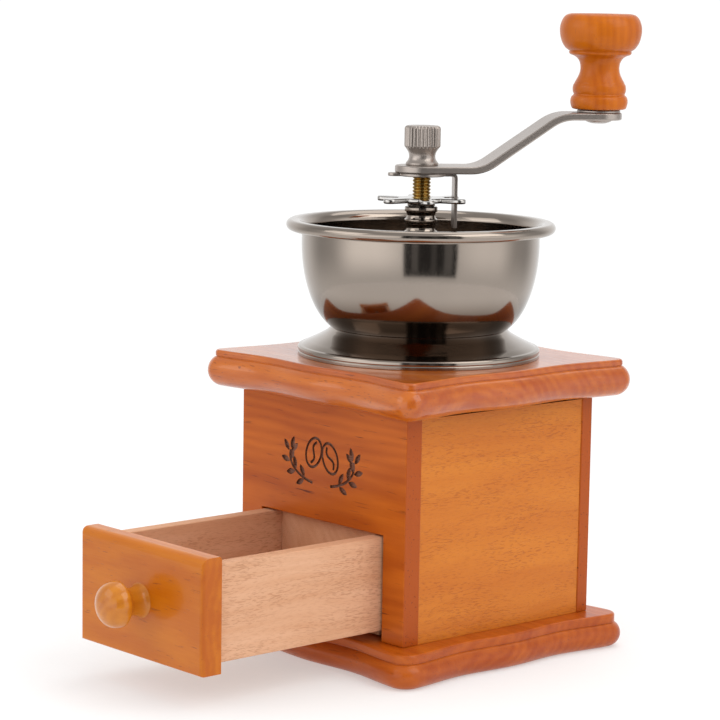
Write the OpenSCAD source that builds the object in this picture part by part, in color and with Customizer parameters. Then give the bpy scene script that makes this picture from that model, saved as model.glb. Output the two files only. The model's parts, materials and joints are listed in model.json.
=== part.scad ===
// Hand-cranked burr coffee grinder: a wooden box with a drawer, a metal bean hopper on top, and a crank
// that turns a conical burr. The origin is the centre of the base plate's underside. +Z is up, the
// drawer opens towards -Y, and the crank turns about Z.

/* [Wooden body] */
// Width of the body, left to right
body_w = 86; // [84:0.5:90]
// Depth of the body, front to back
body_d = 89; // [87:0.5:93]
// Height of the body panels
body_h = 78.2; // [76:0.2:84]
// Thickness of the front board
front_t = 7; // [6:0.5:8]
// Thickness of the rear board
rear_t = 5; // [4:0.5:6]
// Thickness of the side boards, with their recess
side_t = 11; // [10.5:0.5:12]
// Height of the drawer opening above the base plate
opening_h = 36.6; // [36:0.1:38]

/* [Base and top plates] */
// Width and depth of both plates over their corners
plate_w = 109.4; // [106:0.1:112]
// Thickness of the base plate
base_t = 12; // [11.5:0.5:14]
// Thickness of the top plate
top_t = 13; // [12.5:0.5:15]
// Depth of the waves along a plate's edge
edge_wave = 1.7; // [0:0.1:2]
// How far the middle of a plate's edge lies inside its corners
edge_sag = 1.1; // [0:0.1:2]

/* [Hopper] */
// Outer radius of the hopper's rim
rim_r = 47.3; // [46:0.1:49]
// Outer radius of the hopper's wall below its rim
bowl_r = 41.8; // [40:0.1:43]
// Height of the hopper from its floor to its rim
bowl_h = 37.6; // [35:0.2:42]
// Outer radius of the flange that stands on the top plate
flange_r = 42.7; // [41:0.1:45]
// Radius of the neck between the flange and the hopper
neck_r = 30.9; // [30.4:0.1:32]
// Thickness of the hopper's and the flange's metal
sheet_t = 1.1; // [0.9:0.1:1.4]

/* [Crank] */
// Distance from the spindle to the knob's pin
crank_r = 62.7; // [58:0.1:70]
// Height that the arm climbs between its two level ends
crank_rise = 19; // [16:0.5:22]
// Thickness of the arm
arm_t = 2.6; // [2.4:0.1:3.4]
// Direction in which the arm points at rest, from +X towards +Y
crank_angle = 56.6; // [0:0.1:360]
// Height of the crank's wooden knob
knob_h = 33.4; // [30:0.2:36]
// Greatest radius of the crank's wooden knob
knob_r = 14.4; // [13:0.1:16]

/* [Drawer] */
// How far the drawer stands open at rest
drawer_open = 69.5; // [0:0.5:73]
// Height of the drawer's front board
drawer_front_h = 38.5; // [38:0.1:40]
// Width of the drawer's front board
drawer_front_w = 66; // [65:0.5:70]
// Length of the drawer's box behind its front board
drawer_box_l = 79; // [72:0.5:80]
// Length of the drawer's knob
drawer_knob_l = 15.5; // [13:0.5:18]

/* [Hidden] */
$fn = 64;

// Cutting tools run past the faces they cut by this much
over = 1;
// Radial clearance of a turning or sliding fit, of a screw in its hole, and of a bolt in a free hole
run_fit = 0.08;
screw_fit = 0.05;
bolt_fit = 0.2;
// Gap between faces that pass each other
face_gap = 0.3;

// Levels of the housing
body_z = base_t;
top_z = body_z + body_h;
deck_z = top_z + top_t;

// Panels
side_recess = 0.4;
inner_w = body_w - 2 * side_t;
front_y = -body_d / 2;
rear_y = body_d / 2;
screw_x = inner_w / 2 + side_t / 2 - side_recess / 2;
screw_y = 27;
wood_screw_r = 1.6;
dowel_r = 3;
dowel_l = 16;

// Plate edges: a round nose, then a step in to a thinner lip with an eased edge
base_nose_r = 4.6;
base_lip_in = 2.2;
base_corner_r = 8;
top_nose_r = 5.7;
top_lip_in = 2.7;
top_corner_r = 6.3;
lip_ease = 0.6;
groove_w = 0.15;
groove_h = 0.2;

// Flange and hopper
flange_band_h = 3.2;
flange_shoulder = [[8.6, 4.3], [6.7, 5.2], [4.2, 6.5], [2, 7.8], [0.7, 8.9]];
floor_z = deck_z + 9.8;
throat_r = 20;
bowl_curve_rise = 30;
bowl_curve_h = 32;
bowl_curve_w = 16.1;
rim_bead_r = 1.9;
rim_z = floor_z + bowl_h;

// Burrs and the bridge across the hopper's floor
burr_top_z = deck_z - 3.2;
burr_bottom_z = top_z - 9.2;
burr_seat_z = burr_bottom_z + 0.5;
burr_nut_t = 5;
burr_ring_r = 19.6;
burr_bore_r = 16.5;
burr_cone_top_r = 8;
burr_cone_gap = 0.5;
ear_r = 5;
ear_t = 4;
bridge_screw_y = 25.5;
bridge_screw_r = 2;
bridge_hole_r = bridge_screw_r + bolt_fit;
foot_t = 3;
hub_r = 7.4;
hub_low_z = floor_z - 3;
hub_top_z = floor_z + 13;
bush_flange_t = 1;
washer_t = 1;

// Spindle and what is on it
spindle_r = 4;
bush_r = spindle_r + 2;
thread_r = 3.2;
thread_root_r = 2.65;
thread_pitch = 1.2;
square_w = 5;
tip_r = 2.5;
end_r = 3;
arm_z = deck_z + 64.1;
bracket_t = 1.2;
bracket_z = arm_z - bracket_t;
wheel_z = bracket_z - 9.2;
wheel_t = 1.7;
collar_r = 5.8;
collar_waist_r = 5;
collar_top_z = wheel_z - 1.4;
collar_low_z = hub_top_z + bush_flange_t + washer_t + face_gap;
wheel_arm_r = 16.4;
wheel_arm_w = 4.8;
wheel_arms = 6;
leg_r = 12.4;
leg_w = 5.6;
square_hole_w = square_w + 2 * screw_fit;

// Crank arm
arm_hub_r = 9.5;
arm_tip_r = 8.2;
bend_low_r = 20.5;
bend_high_r = 48;
bend_inner_r = 13;
arm_end_z = arm_z + crank_rise + arm_t;

// Crank knob and its pin
pin_r = 3;
pin_head_r = 5;
pin_head_t = 2;
rivet_r = 4.8;
rivet_t = 1.2;
knob_washer_t = 0.8;
knob_z = arm_end_z + knob_washer_t + face_gap;
recess_depth = 4;

// Drawer
drawer_lift = 0.4;
drawer_front_t = 8;
drawer_front_z = body_z + drawer_lift;
drawer_front_y = front_y - drawer_open - face_gap;
drawer_side_z = drawer_front_z + 3.2;
drawer_side_h = 32.4;
drawer_side_t = 5.2;
drawer_side_x = inner_w / 2 - 0.8;
drawer_back_t = 5;
drawer_back_y = drawer_front_y + drawer_box_l;
drawer_floor_t = 2.5;
drawer_floor_z = drawer_side_z + 2.5;
groove_depth = 2;
groove_fit = 0.1;
drawer_knob_z = drawer_front_z + drawer_front_h / 2;
drawer_knob_r = 7.7;
knob_screw_r = 2;

// Engraving on the front board
engrave_z = body_z + 57.5;
engrave_depth = 0.8;
stroke_w = 1;

wood = "#c9702b";
dark_wood = "#b5602a";
raw_wood = "#e2b68c";
nickel = "#8b8580";
dark_nickel = "#5d5651";
steel = "#a9a6a2";
iron = "#4c4a48";
brass = "#b08d3c";
bronze = "#a9773c";

// ---- Shared shapes ----

function arc(cx, cy, r, from, to, steps) =
    [for (i = [0:steps]) let (a = from + (to - from) * i / steps) [cx + r * cos(a), cy + r * sin(a)]];

// How far a plate's edge lies inside its corner line, at u from -1 to 1 along the edge
function edge_dip(u) = edge_wave * (1 - cos(360 * u)) / 2 + edge_sag * (1 - u * u);

function turned(p, quarters) =
    let (a = 90 * quarters) [p[0] * cos(a) - p[1] * sin(a), p[0] * sin(a) + p[1] * cos(a)];

// One ring of a plate's outline, drawn inside the widest one by "inset"
function plate_ring(corner_r, inset) =
    let (h = plate_w / 2 - inset, r = corner_r - inset, straight = plate_w / 2 - corner_r, n = 18, m = 6)
    [for (q = [0:3])
        for (p = concat(
            [for (i = [0:n - 1]) let (u = 2 * i / n - 1) [h - edge_dip(u), straight * u]],
            [for (i = [0:m - 1]) let (a = 90 * i / m) [straight + r * cos(a), straight + r * sin(a)]]))
        turned(p, q)];

// Heights and insets of a plate's edge from its underside to its top
function plate_profile(t, nose_r, lip_in) =
    let (stop = acos(1 - lip_in / nose_r), steps = 8)
    concat(
        [for (i = [0:steps]) let (a = (stop + 90) * i / steps - 90)
            [nose_r * (1 + sin(a)), nose_r * (1 - cos(a))]],
        [[nose_r * (1 + sin(stop)) + groove_h, lip_in + groove_w], [t - lip_ease, lip_in + groove_w]],
        [[t, lip_in + lip_ease]]);

// A solid whose outline is one plate ring at each height of a profile
module plate_blank(t, nose_r, lip_in, corner_r) {
    profile = plate_profile(t, nose_r, lip_in);
    rings = [for (p = profile) plate_ring(corner_r, p[1])];
    n = len(rings[0]);
    last = len(rings) - 1;
    points = [for (k = [0:last]) for (p = rings[k]) [p[0], p[1], profile[k][0]]];
    faces = concat(
        [[for (i = [0:n - 1]) i]],
        [[for (i = [0:n - 1]) last * n + n - 1 - i]],
        [for (k = [0:last - 1]) for (i = [0:n - 1]) let (j = (i + 1) % n)
            each [[k * n + i, (k + 1) * n + i, k * n + j], [k * n + j, (k + 1) * n + i, (k + 1) * n + j]]]);
    polyhedron(points, faces, convexity = 4);
}

module ring(r_out, r_in, h) {
    difference() {
        cylinder(r = r_out, h = h);
        translate([0, 0, -over]) cylinder(r = r_in, h = h + 2 * over);
    }
}

module box(size, at = [0, 0, 0]) {
    translate(at) cube(size);
}

module at_corners(x, y) {
    for (sx = [-1, 1], sy = [-1, 1]) translate([sx * x, sy * y, 0]) children();
}

module at_ends(y) {
    for (s = [-1, 1]) translate([0, s * y, 0]) children();
}

module hex_nut(across, bore_r, h) {
    difference() {
        cylinder(r = across / 2 / cos(30), h = h, $fn = 6);
        translate([0, 0, -over]) cylinder(r = bore_r, h = h + 2 * over);
    }
}

// ---- Wooden body ----

module base_plate() {
    hole_r = 1.9;
    sink_r = 3.6;
    sink_depth = 1.4;
    color(dark_wood) difference() {
        plate_blank(base_t, base_nose_r, base_lip_in, base_corner_r);
        at_corners(screw_x, screw_y) translate([0, 0, -over]) {
            cylinder(r = hole_r, h = base_t + 2 * over);
            cylinder(r = sink_r, h = sink_depth + over);
        }
    }
}

module base_screws() {
    length = 27;
    tip_l = 2;
    sunk = 0.4;
    head_r = 3.4;
    head_t = 0.9;
    slot_w = 0.8;
    slot_depth = 0.5;
    slot_l = 2 * head_r + 2 * over;
    color(steel) at_corners(screw_x, screw_y) translate([0, 0, sunk]) difference() {
        rotate_extrude() polygon([
            [0, 0], [head_r, 0], [head_r, head_t],
            [wood_screw_r, head_t], [wood_screw_r, length - tip_l], [0, length]
        ]);
        box([slot_l, slot_w, 2 * slot_depth], [-slot_l / 2, -slot_w / 2, -slot_depth]);
        box([slot_w, slot_l, 2 * slot_depth], [-slot_w / 2, -slot_l / 2, -slot_depth]);
    }
}

// Points along an ellipse from one angle to another
function ellipse_points(rx, ry, from, to, steps) =
    [for (i = [0:steps]) let (a = from + (to - from) * i / steps) [rx * cos(a), ry * sin(a)]];

// Closed line of constant width around an ellipse
module ellipse_line(rx, ry) {
    steps = 40;
    half = stroke_w / 2;
    difference() {
        polygon(ellipse_points(rx + half, ry + half, 0, 360 - 360 / steps, steps - 1));
        polygon(ellipse_points(rx - half, ry - half, 0, 360 - 360 / steps, steps - 1));
    }
}

// Line of constant width that follows a list of points
module line_along(points) {
    last = len(points) - 1;
    half = stroke_w / 2;
    normals = [for (i = [0:last])
        let (d = points[min(i + 1, last)] - points[max(i - 1, 0)]) half * [-d[1], d[0]] / norm(d)];
    polygon(concat(
        [for (i = [0:last]) points[i] + normals[i]],
        [for (i = [0:last]) points[last - i] - normals[last - i]]));
}

// A coffee bean: an ellipse with a wavy crease
module bean_mark(rx, ry, lean) {
    steps = 16;
    reach = rx - stroke_w * 1.3;
    rotate(lean) {
        ellipse_line(rx, ry);
        line_along([for (i = [0:steps]) let (u = 2 * i / steps - 1) [reach * u, ry * 0.28 * sin(180 * u)]]);
    }
}

// A pointed leaf that starts at the origin and grows along +X
module leaf_mark(length, half_w) {
    steps = 10;
    upper = [for (i = [0:steps]) [length * i / steps, half_w * pow(sin(180 * i / steps), 0.8)]];
    lower = [for (i = [1:steps - 1]) let (k = steps - i) [upper[k][0], -upper[k][1]]];
    polygon(concat(upper, lower));
}

// One side of the wreath: a stem along an ellipse, with leaves in pairs and one at its tip
module sprig_mark() {
    rx = 16.8;
    ry = 8.6;
    steps = 24;
    pairs = 4;
    leaf_l = 4.7;
    leaf_half_w = 1.05;
    leaf_spread = 42;
    stem = ellipse_points(rx, ry, 286, 372, steps);
    line_along(stem);
    for (k = [1:pairs]) {
        i = round(steps * (k - 0.3) / pairs);
        ahead = stem[i] - stem[i - 1];
        heading = atan2(ahead[1], ahead[0]);
        for (side = [-1, 1]) translate(stem[i]) rotate(heading + side * leaf_spread)
            translate([stroke_w * 0.8, 0]) leaf_mark(leaf_l, leaf_half_w);
    }
    tip = stem[steps] - stem[steps - 1];
    translate(stem[steps]) rotate(atan2(tip[1], tip[0])) translate([stroke_w * 0.5, 0])
        leaf_mark(leaf_l, leaf_half_w);
}

// The ornament on the front board: two coffee beans in an open wreath
module ornament() {
    bean_rx = 5.4;
    bean_ry = 3.8;
    translate([-4.2, 2.4]) bean_mark(bean_rx, bean_ry, 66);
    translate([4.4, 1.4]) bean_mark(bean_rx, bean_ry, 114);
    for (side = [0, 1]) mirror([side, 0]) sprig_mark();
}

module front_panel() {
    color(dark_wood) difference() {
        box([body_w, front_t, body_h], [-body_w / 2, front_y, body_z]);
        box([inner_w, front_t + 2 * over, opening_h + over], [-inner_w / 2, front_y - over, body_z - over]);
        translate([0, front_y + engrave_depth, engrave_z]) rotate([90, 0, 0])
            linear_extrude(engrave_depth + over) ornament();
    }
}

module rear_panel() {
    color(dark_wood) box([body_w, rear_t, body_h], [-body_w / 2, rear_y - rear_t, body_z]);
}

module side_panel(side) {
    dowel_depth = 9;
    screw_depth = 17;
    width = side_t - side_recess;
    depth = body_d - front_t - rear_t;
    low_x = side > 0 ? inner_w / 2 : -inner_w / 2 - width;
    color(wood) difference() {
        box([width, depth, body_h], [low_x, front_y + front_t, body_z]);
        at_ends(screw_y) translate([side * screw_x, 0, 0]) {
            translate([0, 0, body_z - over]) cylinder(r = wood_screw_r + screw_fit, h = screw_depth + over);
            translate([0, 0, top_z - dowel_depth]) cylinder(r = dowel_r + screw_fit, h = dowel_depth + over);
        }
    }
}

module side_panel_left() {
    side_panel(-1);
}

module side_panel_right() {
    side_panel(1);
}

module top_dowels() {
    ease = 0.6;
    color(raw_wood) at_corners(screw_x, screw_y) translate([0, 0, top_z - dowel_l / 2])
        rotate_extrude() polygon([
            [0, 0], [dowel_r - ease, 0], [dowel_r, ease],
            [dowel_r, dowel_l - ease], [dowel_r - ease, dowel_l], [0, dowel_l]
        ]);
}

module top_plate() {
    burr_fit = 0.4;
    dowel_depth = 9;
    color(wood) difference() {
        translate([0, 0, top_z]) plate_blank(top_t, top_nose_r, top_lip_in, top_corner_r);
        translate([0, 0, top_z - over]) {
            cylinder(r = burr_ring_r + burr_fit, h = top_t + 2 * over);
            at_ends(bridge_screw_y) cylinder(r = bridge_hole_r, h = top_t + 2 * over);
            at_corners(screw_x, screw_y) cylinder(r = dowel_r + screw_fit, h = dowel_depth + over);
        }
    }
}

// ---- Hopper ----

// A point of the shoulder's outer face, moved in by the sheet's thickness
function neck_inside(p) = [neck_r + p[0] - 0.5 * sheet_t, deck_z + p[1] - sheet_t];

// Flange, shoulder and neck pressed from one sheet that is folded down again inside the throat
module hopper_flange() {
    edge_r = 0.8;
    band_top = deck_z + flange_band_h;
    outside = concat(
        [[flange_r, deck_z]],
        arc(flange_r - edge_r, band_top - edge_r, edge_r, 0, 65, 4),
        [for (p = flange_shoulder) [neck_r + p[0], deck_z + p[1]]],
        [[neck_r, floor_z], [throat_r, floor_z], [throat_r, deck_z]]);
    inside = concat(
        [[throat_r + sheet_t, deck_z], [throat_r + sheet_t, floor_z - sheet_t]],
        [[neck_r - sheet_t, floor_z - sheet_t]],
        [for (k = [len(flange_shoulder) - 1:-1:1]) neck_inside(flange_shoulder[k])],
        [[flange_r - sheet_t, band_top - 1.8], [flange_r - sheet_t, deck_z]]);
    color(nickel) difference() {
        rotate_extrude($fn = 128) polygon(concat(outside, inside));
        at_ends(bridge_screw_y) translate([0, 0, floor_z - 2 * over])
            cylinder(r = bridge_hole_r, h = 4 * over);
    }
}

// Radius of the hopper's wall at height z, on the side that is "inner" inside the outer face
function bowl_wall_r(z, inner) =
    let (drop = (floor_z + bowl_curve_rise - z) / (bowl_curve_h - inner))
    bowl_r - bowl_curve_w + (bowl_curve_w - inner) * sqrt(1 - drop * drop);

module hopper_bowl() {
    steps = 12;
    corner_r = 0.7;
    throat_ease = 0.5;
    lip_r = rim_r - rim_bead_r;
    lip_z = rim_z - rim_bead_r;
    flare_r = min(3.5, lip_r - bowl_r + sheet_t);
    inner_z = floor_z + sheet_t;
    inner_rise = bowl_curve_rise - sheet_t;
    outside = [for (i = [0:steps]) let (z = floor_z + bowl_curve_rise * i / steps) [bowl_wall_r(z, 0), z]];
    inside = [for (i = [0:steps]) let (z = inner_z + inner_rise * (1 - i / steps))
        [bowl_wall_r(z, sheet_t), z]];
    color(nickel) difference() {
        rotate_extrude($fn = 128) polygon(concat(
            outside,
            arc(bowl_r + corner_r, lip_z - rim_bead_r - corner_r, corner_r, 180, 90, 4),
            arc(lip_r, lip_z, rim_bead_r, -90, 90, 12),
            arc(bowl_r - sheet_t + flare_r, rim_z - flare_r, flare_r, 96, 180, 7),
            inside,
            [[throat_r + throat_ease, inner_z], [throat_r, inner_z - throat_ease], [throat_r, floor_z]]));
        at_ends(bridge_screw_y) translate([0, 0, floor_z - over]) cylinder(r = bridge_hole_r, h = 4 * over);
    }
}

module bearing_bridge() {
    foot_z = floor_z + sheet_t;
    foot_top = foot_z + foot_t;
    foot_in = bridge_screw_y - ear_r;
    arm_low_z = floor_z + 6.5;
    arm_high_z = arm_low_z + 5.5;
    arm_w = 7;
    half_profile = [
        [throat_r - 6, arm_low_z], [foot_in - 1, foot_z + 0.6], [foot_in + 1, foot_z],
        [bridge_screw_y, foot_z], [bridge_screw_y, foot_top], [foot_in + 1, foot_top],
        [hub_r + 3, arm_high_z - 1.5], [hub_r, arm_high_z]
    ];
    last = len(half_profile) - 1;
    mirrored = [for (i = [0:last]) [-half_profile[last - i][0], half_profile[last - i][1]]];
    color(iron) difference() {
        union() {
            rotate([90, 0, 90]) translate([0, 0, -arm_w / 2]) linear_extrude(arm_w)
                polygon(concat(half_profile, mirrored));
            at_ends(bridge_screw_y) translate([0, 0, foot_z]) cylinder(r = ear_r, h = foot_t);
            translate([0, 0, hub_low_z]) cylinder(r = hub_r, h = hub_top_z - hub_low_z);
        }
        translate([0, 0, hub_low_z - over]) cylinder(r = bush_r, h = hub_top_z - hub_low_z + 2 * over);
        at_ends(bridge_screw_y) translate([0, 0, foot_z - over])
            cylinder(r = bridge_hole_r, h = foot_t + 2 * over);
    }
}

module bridge_bushing() {
    length = hub_top_z - hub_low_z + bush_flange_t;
    color(bronze) difference() {
        union() {
            translate([0, 0, hub_low_z]) cylinder(r = bush_r - screw_fit, h = length);
            translate([0, 0, hub_top_z]) cylinder(r = hub_r - 0.6, h = bush_flange_t);
        }
        translate([0, 0, hub_low_z - over]) cylinder(r = spindle_r + run_fit, h = length + 2 * over);
    }
}

module thrust_washer() {
    color(steel) translate([0, 0, hub_top_z + bush_flange_t]) ring(hub_r - 1, spindle_r + run_fit, washer_t);
}

module bridge_screws() {
    head_r = 3.8;
    head_t = 2.4;
    slot_w = 1;
    slot_depth = 1.1;
    slot_l = 2 * head_r + 2 * over;
    head_z = floor_z + sheet_t + foot_t;
    end_z = head_z + head_t;
    tip_z = top_z - ear_t - 5;
    color(steel) at_ends(bridge_screw_y) difference() {
        rotate_extrude() polygon([
            [0, tip_z], [bridge_screw_r - 0.4, tip_z], [bridge_screw_r, tip_z + 0.6],
            [bridge_screw_r, head_z], [head_r, head_z], [head_r, head_z + head_t * 0.5],
            [head_r * 0.62, end_z], [0, end_z]
        ]);
        box([slot_l, slot_w, 2 * slot_depth], [-slot_l / 2, -slot_w / 2, end_z - slot_depth]);
    }
}

module bridge_nuts() {
    across = 7;
    nut_t = 3.2;
    color(steel) at_ends(bridge_screw_y) translate([0, 0, top_z - ear_t - nut_t])
        hex_nut(across, bridge_screw_r + screw_fit, nut_t);
}

// ---- Burrs ----

// The fixed ring: a plain bore with slanted V-shaped teeth, and an ear at each end for the bridge's screws
module outer_burr() {
    teeth = 16;
    tooth_depth = 1.3;
    tooth_half_w = 1.5;
    slant = 14;
    h = burr_top_z - burr_bottom_z;
    ear_z = top_z - ear_t;
    color(iron) difference() {
        union() {
            translate([0, 0, burr_bottom_z]) cylinder(r = burr_ring_r, h = h);
            translate([0, 0, ear_z]) at_ends(bridge_screw_y) cylinder(r = ear_r, h = ear_t);
            for (s = [0, 1]) mirror([0, s, 0])
                box([2 * ear_r, ear_r + over, ear_t], [-ear_r, burr_ring_r - over, ear_z]);
        }
        at_ends(bridge_screw_y) translate([0, 0, ear_z - over])
            cylinder(r = bridge_hole_r, h = ear_t + 2 * over);
        translate([0, 0, burr_bottom_z - over]) cylinder(r = burr_bore_r, h = h + 2 * over);
        for (k = [0:teeth - 1]) rotate(360 * k / teeth)
            translate([burr_bore_r, 0, burr_bottom_z + h / 2]) rotate([-slant, 0, 0])
                translate([0, 0, -h]) linear_extrude(2 * h)
                    polygon([[-tooth_depth, -tooth_half_w], [tooth_depth, 0], [-tooth_depth, tooth_half_w]]);
    }
}

module inner_burr() {
    teeth = 10;
    h = burr_top_z - burr_bottom_z - 3;
    low_r = burr_bore_r - burr_cone_gap;
    color(iron) translate([0, 0, burr_seat_z]) difference() {
        rotate_extrude() polygon([
            [0, 0], [low_r - 1, 0], [low_r, 1], [low_r - 0.3, 5],
            [burr_cone_top_r, h - 1], [burr_cone_top_r - 1, h], [0, h]
        ]);
        translate([0, 0, -over]) cylinder(r = spindle_r + screw_fit, h = h + 2 * over);
        for (k = [0:teeth - 1]) rotate(360 * k / teeth) translate([low_r + 0.3, 0, -over])
            rotate([0, -24, 0]) rotate([-22, 0, 0]) cylinder(r = 1.5, h = h + 8, $fn = 16);
    }
}

module burr_washer() {
    color(steel) translate([0, 0, burr_seat_z - washer_t]) ring(8, end_r + screw_fit, washer_t);
}

module burr_nut() {
    across = 10;
    color(steel) translate([0, 0, burr_seat_z - washer_t - burr_nut_t])
        hex_nut(across, end_r + screw_fit, burr_nut_t);
}

// A coil of round wire between the burr and the bridge's hub
module burr_spring() {
    wire_r = 0.6;
    coil_r = spindle_r + 1.5;
    turns = 5;
    per_turn = 18;
    sides = 8;
    low = burr_top_z - 2.4 + wire_r;
    high = hub_low_z - 0.1 - wire_r;
    count = turns * per_turn;
    points = [for (i = [0:count]) for (s = [0:sides - 1])
        let (a = 360 * i / per_turn, b = 360 * s / sides, r = coil_r + wire_r * cos(b))
        [r * cos(a), r * sin(a), low + (high - low) * i / count + wire_r * sin(b)]];
    faces = concat(
        [[for (s = [0:sides - 1]) s]],
        [[for (s = [0:sides - 1]) count * sides + sides - 1 - s]],
        [for (i = [0:count - 1]) for (s = [0:sides - 1]) let (t = (s + 1) % sides)
            each [[i * sides + s, (i + 1) * sides + s, i * sides + t],
                [i * sides + t, (i + 1) * sides + s, (i + 1) * sides + t]]]);
    color(steel) polyhedron(points, faces, convexity = 10);
}

// ---- Spindle, grind adjuster and crank ----

module spindle() {
    thread_low_z = collar_top_z;
    square_low_z = bracket_z;
    square_top_z = arm_z + arm_t;
    rings = floor((square_low_z - thread_low_z) / thread_pitch);
    thread_top_z = thread_low_z + rings * thread_pitch;
    end_z = burr_seat_z - washer_t - burr_nut_t - 1.5;
    color(brass) {
        rotate_extrude() polygon(concat(
            [[0, end_z], [end_r - 0.5, end_z], [end_r, end_z + 0.5], [end_r, burr_seat_z]],
            [[spindle_r, burr_seat_z], [spindle_r, thread_low_z - 2]],
            [[thread_root_r, thread_low_z - 2], [thread_root_r, thread_low_z]],
            [for (i = [0:rings - 1]) let (z = thread_low_z + i * thread_pitch)
                each [[thread_root_r, z + 0.05], [thread_r, z + thread_pitch * 0.42],
                    [thread_r, z + thread_pitch * 0.58], [thread_root_r, z + thread_pitch - 0.05]]],
            [[thread_root_r, square_low_z], [0, square_low_z]]));
        rotate(crank_angle) box([square_w, square_w, square_top_z - square_low_z + 0.01],
            [-square_w / 2, -square_w / 2, square_low_z - 0.01]);
        translate([0, 0, square_top_z - 0.01]) cylinder(r = tip_r, h = 10);
        assert(thread_top_z <= square_low_z);
    }
}

// The adjuster's turned collar: crisp rings with hollow waists between them
module adjusting_collar() {
    ring_h = 1.9;
    ease = 0.25;
    count = 6;
    length = collar_top_z - collar_low_z;
    pitch = (length - ring_h) / count;
    hollow_h = pitch - ring_h;
    sag = collar_r - collar_waist_r;
    steps = 6;
    color(dark_nickel) difference() {
        rotate_extrude() polygon(concat(
            [[0, collar_low_z]],
            [for (k = [0:count]) let (z = collar_low_z + k * pitch) each concat(
                [[collar_r - ease, z], [collar_r, z + ease]],
                [[collar_r, z + ring_h - ease], [collar_r - ease, z + ring_h]],
                k == count ? [] : [for (i = [1:steps - 1])
                    [collar_r - ease - sag * sin(180 * i / steps), z + ring_h + hollow_h * i / steps]])],
            [[0, collar_top_z]]));
        translate([0, 0, collar_low_z - over]) cylinder(r = spindle_r + run_fit, h = length - 1 + over);
        translate([0, 0, collar_top_z - 2 * over]) cylinder(r = thread_r + run_fit, h = 3 * over);
    }
}

// The adjuster's star wheel: six round-ended arms, with the bracket's leg between two of them
module adjusting_wheel() {
    web_r = 8.4;
    boss_r = 4.9;
    end_x = wheel_arm_r - wheel_arm_w / 2;
    color(nickel) rotate(crank_angle) difference() {
        union() {
            translate([0, 0, collar_top_z]) cylinder(r = boss_r, h = wheel_z - collar_top_z);
            translate([0, 0, wheel_z]) {
                cylinder(r = web_r, h = wheel_t);
                for (k = [0:wheel_arms - 1]) rotate(360 * (k + 0.5) / wheel_arms) {
                    box([end_x, wheel_arm_w, wheel_t], [0, -wheel_arm_w / 2, 0]);
                    translate([end_x, 0, 0]) cylinder(r = wheel_arm_w / 2, h = wheel_t);
                }
            }
        }
        translate([0, 0, collar_top_z - over])
            cylinder(r = thread_r + run_fit, h = wheel_z - collar_top_z + wheel_t + 2 * over);
    }
}

// A bent plate under the arm: its leg hangs between two arms of the star wheel
module lock_bracket() {
    plate_r = 8.2;
    tab_r = 12;
    tab_w = 4.4;
    bend_r = 1.8;
    leg_reach = 9;
    low = wheel_z - leg_reach - bracket_z;
    bend_x = leg_r - bend_r;
    bend_z = bracket_t - bend_r;
    side_view = concat(
        [[0, 0], [0, bracket_t]],
        arc(bend_x, bend_z, bend_r, 90, 0, 6),
        [[leg_r, low], [leg_r - bracket_t, low]],
        arc(bend_x, bend_z, bend_r - bracket_t, 0, 90, 4));
    color(nickel) translate([0, 0, bracket_z]) rotate(crank_angle) difference() {
        union() {
            cylinder(r = plate_r, h = bracket_t);
            rotate([90, 0, 0]) translate([0, 0, -leg_w / 2]) linear_extrude(leg_w) polygon(side_view);
            box([tab_r - tab_w / 2, tab_w, bracket_t], [tab_w / 2 - tab_r, -tab_w / 2, 0]);
            translate([tab_w / 2 - tab_r, 0, 0]) cylinder(r = tab_w / 2, h = bracket_t);
        }
        square_hole(-over, bracket_t + 2 * over);
    }
}

// The spindle's square, as a hole from height z up
module square_hole(z, h) {
    box([square_hole_w, square_hole_w, h], [-square_hole_w / 2, -square_hole_w / 2, z]);
}

// Side view of the arm's upper face, which the lower face follows one thickness below
function arm_line(lower) =
    let (slope = atan2(crank_rise, bend_high_r - bend_low_r),
        r_low = bend_inner_r + (lower ? arm_t : 0),
        r_high = bend_inner_r + (lower ? 0 : arm_t),
        reach = tan(slope / 2) * (bend_inner_r + arm_t / 2),
        mid_low = arm_z + arm_t / 2,
        mid_high = mid_low + crank_rise,
        centre_low = mid_low + bend_inner_r + arm_t / 2,
        centre_high = mid_high - bend_inner_r - arm_t / 2)
    concat(
        arc(bend_low_r - reach, centre_low, r_low, -90, slope - 90, 8),
        arc(bend_high_r + reach, centre_high, r_high, 90 + slope, 90, 8));

module crank_arm() {
    upper = arm_line(false);
    lower = arm_line(true);
    last = len(lower) - 1;
    far = crank_r + arm_tip_r + over;
    near = -arm_hub_r - over;
    top_end = arm_z + crank_rise;
    side_view = concat(
        [[near, arm_z + arm_t], [near, arm_z]], lower, [[far, top_end], [far, top_end + arm_t]],
        [for (i = [0:last]) upper[last - i]]);
    width = 2 * arm_hub_r + 2 * over;
    color(steel) rotate(crank_angle) difference() {
        intersection() {
            rotate([90, 0, 0]) translate([0, 0, -width / 2]) linear_extrude(width) polygon(side_view);
            translate([0, 0, arm_z - over]) linear_extrude(crank_rise + arm_t + 2 * over) union() {
                circle(r = arm_hub_r);
                polygon([[0, -arm_hub_r], [crank_r, -arm_tip_r], [crank_r, arm_tip_r], [0, arm_hub_r]]);
                translate([crank_r, 0]) circle(r = arm_tip_r);
            }
        }
        square_hole(arm_z - over, arm_t + 2 * over);
        translate([crank_r, 0, top_end - over]) cylinder(r = pin_r + screw_fit, h = arm_t + 2 * over);
    }
}

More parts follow.
